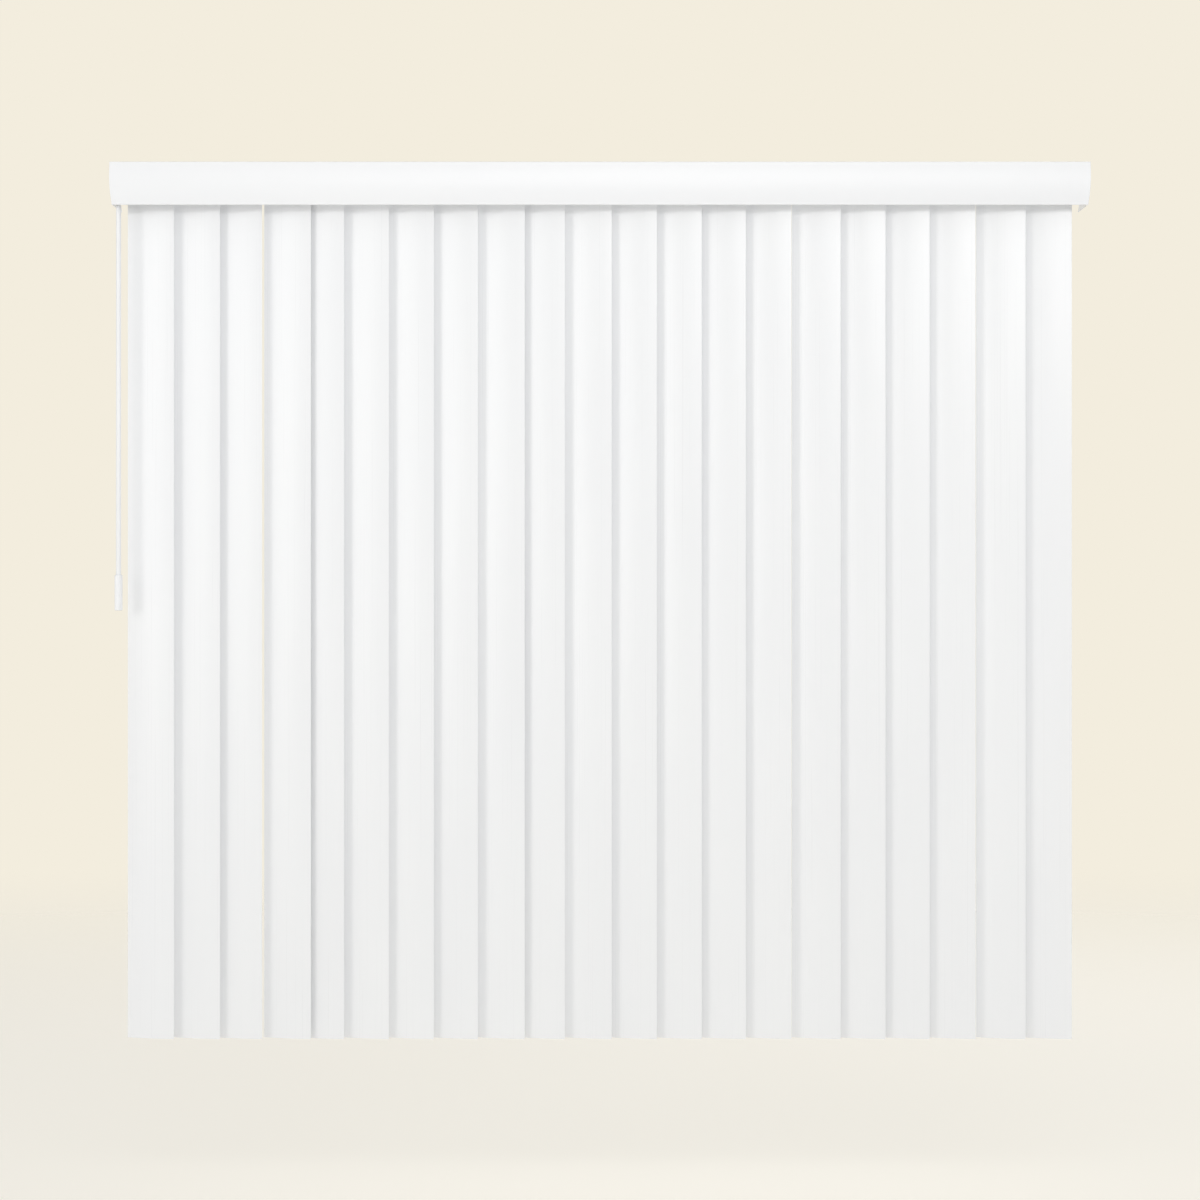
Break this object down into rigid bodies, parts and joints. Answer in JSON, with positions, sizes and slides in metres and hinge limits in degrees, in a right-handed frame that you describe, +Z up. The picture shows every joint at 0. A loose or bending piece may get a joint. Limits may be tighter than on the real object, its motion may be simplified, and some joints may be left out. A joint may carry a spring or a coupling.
{
  "type": "vertical blind",
  "caption": "Wall-hung vertical blind: bowed hanging vanes on a track behind a curved valance, turned and drawn aside by a hanging wand.",
  "frame": {"origin": "on the wall plane, at the centre of the outer brackets' four screw holes", "axes": "+X right along the rail, +Y into the wall, +Z up; the room side faces -Y"},
  "size_m": [1.735, 0.122, 1.557],
  "materials": {
    "vane": "satin white PVC",
    "valance": "satin white PVC",
    "rail": "white coated",
    "moulding": "moulded white",
    "wand": "smooth white",
    "clip": "milky moulded",
    "rod": "drawn",
    "bracket": "white coated"
  },
  "bodies": {
    "frame": {"headrail": "rail", "end_cap_left": "moulding", "end_cap_right": "moulding", "bracket_left": "bracket", "bracket_middle": "bracket", "bracket_right": "bracket", "valance_face": "valance", "valance_return_left": "valance", "valance_return_right": "valance", "valance_corners": "clip", "valance_clips": "clip", "carrier_21": "moulding"},
    "tilt_rod": {"tilt_rod": "rod"},
    "lead": {"wand_carrier": "moulding", "carrier_01": "moulding"},
    "carrier_02": {"carrier_02": "moulding"},
    "carrier_03": {"carrier_03": "moulding"},
    "carrier_04": {"carrier_04": "moulding"},
    "carrier_05": {"carrier_05": "moulding"},
    "carrier_06": {"carrier_06": "moulding"},
    "carrier_07": {"carrier_07": "moulding"},
    "carrier_08": {"carrier_08": "moulding"},
    "carrier_09": {"carrier_09": "moulding"},
    "carrier_10": {"carrier_10": "moulding"},
    "carrier_11": {"carrier_11": "moulding"},
    "carrier_12": {"carrier_12": "moulding"},
    "carrier_13": {"carrier_13": "moulding"},
    "carrier_14": {"carrier_14": "moulding"},
    "carrier_15": {"carrier_15": "moulding"},
    "carrier_16": {"carrier_16": "moulding"},
    "carrier_17": {"carrier_17": "moulding"},
    "carrier_18": {"carrier_18": "moulding"},
    "carrier_19": {"carrier_19": "moulding"},
    "carrier_20": {"carrier_20": "moulding"},
    "vane_01": {"vane_01": "vane"},
    "vane_02": {"vane_02": "vane"},
    "vane_03": {"vane_03": "vane"},
    "vane_04": {"vane_04": "vane"},
    "vane_05": {"vane_05": "vane"},
    "vane_06": {"vane_06": "vane"},
    "vane_07": {"vane_07": "vane"},
    "vane_08": {"vane_08": "vane"},
    "vane_09": {"vane_09": "vane"},
    "vane_10": {"vane_10": "vane"},
    "vane_11": {"vane_11": "vane"},
    "vane_12": {"vane_12": "vane"},
    "vane_13": {"vane_13": "vane"},
    "vane_14": {"vane_14": "vane"},
    "vane_15": {"vane_15": "vane"},
    "vane_16": {"vane_16": "vane"},
    "vane_17": {"vane_17": "vane"},
    "vane_18": {"vane_18": "vane"},
    "vane_19": {"vane_19": "vane"},
    "vane_20": {"vane_20": "vane"},
    "vane_21": {"vane_21": "vane"},
    "wand_stem": {"wand_stem": "moulding"},
    "wand_link": {"wand_link": "moulding"},
    "wand": {"wand_cap": "moulding", "wand_rod": "wand", "wand_grip": "wand"}
  },
  "joints": [
    {"name": "draw", "type": "slide", "parent": "frame", "child": "lead", "axis": [1, 0, 0], "range_m": [0, 1.3]},
    {"name": "draw_02", "type": "slide", "parent": "frame", "child": "carrier_02", "axis": [1, 0, 0], "range_m": [0, 1.2335]},
    {"name": "draw_03", "type": "slide", "parent": "frame", "child": "carrier_03", "axis": [1, 0, 0], "range_m": [0, 1.1735]},
    {"name": "draw_04", "type": "slide", "parent": "frame", "child": "carrier_04", "axis": [1, 0, 0], "range_m": [0, 1.1015]},
    {"name": "draw_05", "type": "slide", "parent": "frame", "child": "carrier_05", "axis": [1, 0, 0], "range_m": [0, 1.0575]},
    {"name": "draw_06", "type": "slide", "parent": "frame", "child": "carrier_06", "axis": [1, 0, 0], "range_m": [0, 0.9925]},
    {"name": "draw_07", "type": "slide", "parent": "frame", "child": "carrier_07", "axis": [1, 0, 0], "range_m": [0, 0.9275]},
    {"name": "draw_08", "type": "slide", "parent": "frame", "child": "carrier_08", "axis": [1, 0, 0], "range_m": [0, 0.864]},
    {"name": "draw_09", "type": "slide", "parent": "frame", "child": "carrier_09", "axis": [1, 0, 0], "range_m": [0, 0.7955]},
    {"name": "draw_10", "type": "slide", "parent": "frame", "child": "carrier_10", "axis": [1, 0, 0], "range_m": [0, 0.739]},
    {"name": "draw_11", "type": "slide", "parent": "frame", "child": "carrier_11", "axis": [1, 0, 0], "range_m": [0, 0.6705]},
    {"name": "draw_12", "type": "slide", "parent": "frame", "child": "carrier_12", "axis": [1, 0, 0], "range_m": [0, 0.605]},
    {"name": "draw_13", "type": "slide", "parent": "frame", "child": "carrier_13", "axis": [1, 0, 0], "range_m": [0, 0.54]},
    {"name": "draw_14", "type": "slide", "parent": "frame", "child": "carrier_14", "axis": [1, 0, 0], "range_m": [0, 0.4765]},
    {"name": "draw_15", "type": "slide", "parent": "frame", "child": "carrier_15", "axis": [1, 0, 0], "range_m": [0, 0.41]},
    {"name": "draw_16", "type": "slide", "parent": "frame", "child": "carrier_16", "axis": [1, 0, 0], "range_m": [0, 0.3375]},
    {"name": "draw_17", "type": "slide", "parent": "frame", "child": "carrier_17", "axis": [1, 0, 0], "range_m": [0, 0.2725]},
    {"name": "draw_18", "type": "slide", "parent": "frame", "child": "carrier_18", "axis": [1, 0, 0], "range_m": [0, 0.209]},
    {"name": "draw_19", "type": "slide", "parent": "frame", "child": "carrier_19", "axis": [1, 0, 0], "range_m": [0, 0.142]},
    {"name": "draw_20", "type": "slide", "parent": "frame", "child": "carrier_20", "axis": [1, 0, 0], "range_m": [0, 0.068]},
    {"name": "tilt", "type": "hinge", "parent": "lead", "child": "vane_01", "pos_m": [-0.803, -0.062, -0.005], "axis": [0, 0, -1], "range_deg": [0, 148]},
    {"name": "tilt_02", "type": "hinge", "parent": "carrier_02", "child": "vane_02", "pos_m": [-0.721, -0.062, -0.005], "axis": [0, 0, -1], "range_deg": [0, 148.5]},
    {"name": "tilt_03", "type": "hinge", "parent": "carrier_03", "child": "vane_03", "pos_m": [-0.646, -0.062, -0.005], "axis": [0, 0, -1], "range_deg": [0, 148.5]},
    {"name": "tilt_04", "type": "hinge", "parent": "carrier_04", "child": "vane_04", "pos_m": [-0.559, -0.062, -0.005], "axis": [0, 0, -1], "range_deg": [0, 148.5]},
    {"name": "tilt_05", "type": "hinge", "parent": "carrier_05", "child": "vane_05", "pos_m": [-0.5, -0.062, -0.005], "axis": [0, 0, -1], "range_deg": [0, 148.5]},
    {"name": "tilt_06", "type": "hinge", "parent": "carrier_06", "child": "vane_06", "pos_m": [-0.42, -0.062, -0.005], "axis": [0, 0, -1], "range_deg": [0, 148.5]},
    {"name": "tilt_07", "type": "hinge", "parent": "carrier_07", "child": "vane_07", "pos_m": [-0.34, -0.062, -0.005], "axis": [0, 0, -1], "range_deg": [0, 148.5]},
    {"name": "tilt_08", "type": "hinge", "parent": "carrier_08", "child": "vane_08", "pos_m": [-0.2615, -0.062, -0.005], "axis": [0, 0, -1], "range_deg": [0, 148.5]},
    {"name": "tilt_09", "type": "hinge", "parent": "carrier_09", "child": "vane_09", "pos_m": [-0.178, -0.062, -0.005], "axis": [0, 0, -1], "range_deg": [0, 148.5]},
    {"name": "tilt_10", "type": "hinge", "parent": "carrier_10", "child": "vane_10", "pos_m": [-0.1065, -0.062, -0.005], "axis": [0, 0, -1], "range_deg": [0, 148.5]},
    {"name": "tilt_11", "type": "hinge", "parent": "carrier_11", "child": "vane_11", "pos_m": [-0.023, -0.062, -0.005], "axis": [0, 0, -1], "range_deg": [0, 148.5]},
    {"name": "tilt_12", "type": "hinge", "parent": "carrier_12", "child": "vane_12", "pos_m": [0.0575, -0.062, -0.005], "axis": [0, 0, -1], "range_deg": [0, 148.5]},
    {"name": "tilt_13", "type": "hinge", "parent": "carrier_13", "child": "vane_13", "pos_m": [0.1375, -0.062, -0.005], "axis": [0, 0, -1], "range_deg": [0, 148.5]},
    {"name": "tilt_14", "type": "hinge", "parent": "carrier_14", "child": "vane_14", "pos_m": [0.216, -0.062, -0.005], "axis": [0, 0, -1], "range_deg": [0, 148.5]},
    {"name": "tilt_15", "type": "hinge", "parent": "carrier_15", "child": "vane_15", "pos_m": [0.2975, -0.062, -0.005], "axis": [0, 0, -1], "range_deg": [0, 148.5]},
    {"name": "tilt_16", "type": "hinge", "parent": "carrier_16", "child": "vane_16", "pos_m": [0.385, -0.062, -0.005], "axis": [0, 0, -1], "range_deg": [0, 148.5]},
    {"name": "tilt_17", "type": "hinge", "parent": "carrier_17", "child": "vane_17", "pos_m": [0.465, -0.062, -0.005], "axis": [0, 0, -1], "range_deg": [0, 148.5]},
    {"name": "tilt_18", "type": "hinge", "parent": "carrier_18", "child": "vane_18", "pos_m": [0.5435, -0.062, -0.005], "axis": [0, 0, -1], "range_deg": [0, 148.5]},
    {"name": "tilt_19", "type": "hinge", "parent": "carrier_19", "child": "vane_19", "pos_m": [0.6255, -0.062, -0.005], "axis": [0, 0, -1], "range_deg": [0, 148.5]},
    {"name": "tilt_20", "type": "hinge", "parent": "carrier_20", "child": "vane_20", "pos_m": [0.7145, -0.062, -0.005], "axis": [0, 0, -1], "range_deg": [0, 148.5]},
    {"name": "tilt_21", "type": "hinge", "parent": "frame", "child": "vane_21", "pos_m": [0.797, -0.062, -0.005], "axis": [0, 0, -1], "range_deg": [0, 148.5]},
    {"name": "rod_turn", "type": "hinge", "parent": "frame", "child": "tilt_rod", "pos_m": [0, -0.0545, 0.0085], "axis": [1, 0, 0], "range_deg": [0, 1442]},
    {"name": "wand_turn", "type": "hinge", "parent": "lead", "child": "wand_stem", "pos_m": [-0.8549, -0.092, -0.005], "axis": [0, 0, -1], "range_deg": [0, 1442]},
    {"name": "wand_swing", "type": "hinge", "parent": "wand_stem", "child": "wand_link", "pos_m": [-0.8549, -0.092, -0.0255], "axis": [-1, 0, 0], "range_deg": [0, 36]},
    {"name": "wand_sway", "type": "hinge", "parent": "wand_link", "child": "wand", "pos_m": [-0.8549, -0.092, -0.0365], "axis": [0, -1, 0], "range_deg": [-3, 30]}
  ],
  "couplings": [
    {"joint": "draw_02", "follows": "draw", "ratio": 0.94846},
    {"joint": "draw_03", "follows": "draw", "ratio": 0.90231},
    {"joint": "draw_04", "follows": "draw", "ratio": 0.84692},
    {"joint": "draw_05", "follows": "draw", "ratio": 0.81308},
    {"joint": "draw_06", "follows": "draw", "ratio": 0.76308},
    {"joint": "draw_07", "follows": "draw", "ratio": 0.71308},
    {"joint": "draw_08", "follows": "draw", "ratio": 0.66423},
    {"joint": "draw_09", "follows": "draw", "ratio": 0.61154},
    {"joint": "draw_10", "follows": "draw", "ratio": 0.56808},
    {"joint": "draw_11", "follows": "draw", "ratio": 0.51538},
    {"joint": "draw_12", "follows": "draw", "ratio": 0.465},
    {"joint": "draw_13", "follows": "draw", "ratio": 0.415},
    {"joint": "draw_14", "follows": "draw", "ratio": 0.36615},
    {"joint": "draw_15", "follows": "draw", "ratio": 0.315},
    {"joint": "draw_16", "follows": "draw", "ratio": 0.25923},
    {"joint": "draw_17", "follows": "draw", "ratio": 0.20923},
    {"joint": "draw_18", "follows": "draw", "ratio": 0.16038},
    {"joint": "draw_19", "follows": "draw", "ratio": 0.10885},
    {"joint": "draw_20", "follows": "draw", "ratio": 0.051923},
    {"joint": "tilt_02", "follows": "tilt", "ratio": 1},
    {"joint": "tilt_03", "follows": "tilt", "ratio": 1},
    {"joint": "tilt_04", "follows": "tilt", "ratio": 1},
    {"joint": "tilt_05", "follows": "tilt", "ratio": 1},
    {"joint": "tilt_06", "follows": "tilt", "ratio": 1},
    {"joint": "tilt_07", "follows": "tilt", "ratio": 1},
    {"joint": "tilt_08", "follows": "tilt", "ratio": 1},
    {"joint": "tilt_09", "follows": "tilt", "ratio": 1},
    {"joint": "tilt_10", "follows": "tilt", "ratio": 1},
    {"joint": "tilt_11", "follows": "tilt", "ratio": 1},
    {"joint": "tilt_12", "follows": "tilt", "ratio": 1},
    {"joint": "tilt_13", "follows": "tilt", "ratio": 1},
    {"joint": "tilt_14", "follows": "tilt", "ratio": 1},
    {"joint": "tilt_15", "follows": "tilt", "ratio": 1},
    {"joint": "tilt_16", "follows": "tilt", "ratio": 1},
    {"joint": "tilt_17", "follows": "tilt", "ratio": 1},
    {"joint": "tilt_18", "follows": "tilt", "ratio": 1},
    {"joint": "tilt_19", "follows": "tilt", "ratio": 1},
    {"joint": "tilt_20", "follows": "tilt", "ratio": 1},
    {"joint": "tilt_21", "follows": "tilt", "ratio": 1},
    {"joint": "rod_turn", "follows": "tilt", "ratio": 9.7297},
    {"joint": "wand_turn", "follows": "tilt", "ratio": 9.7297}
  ]
}
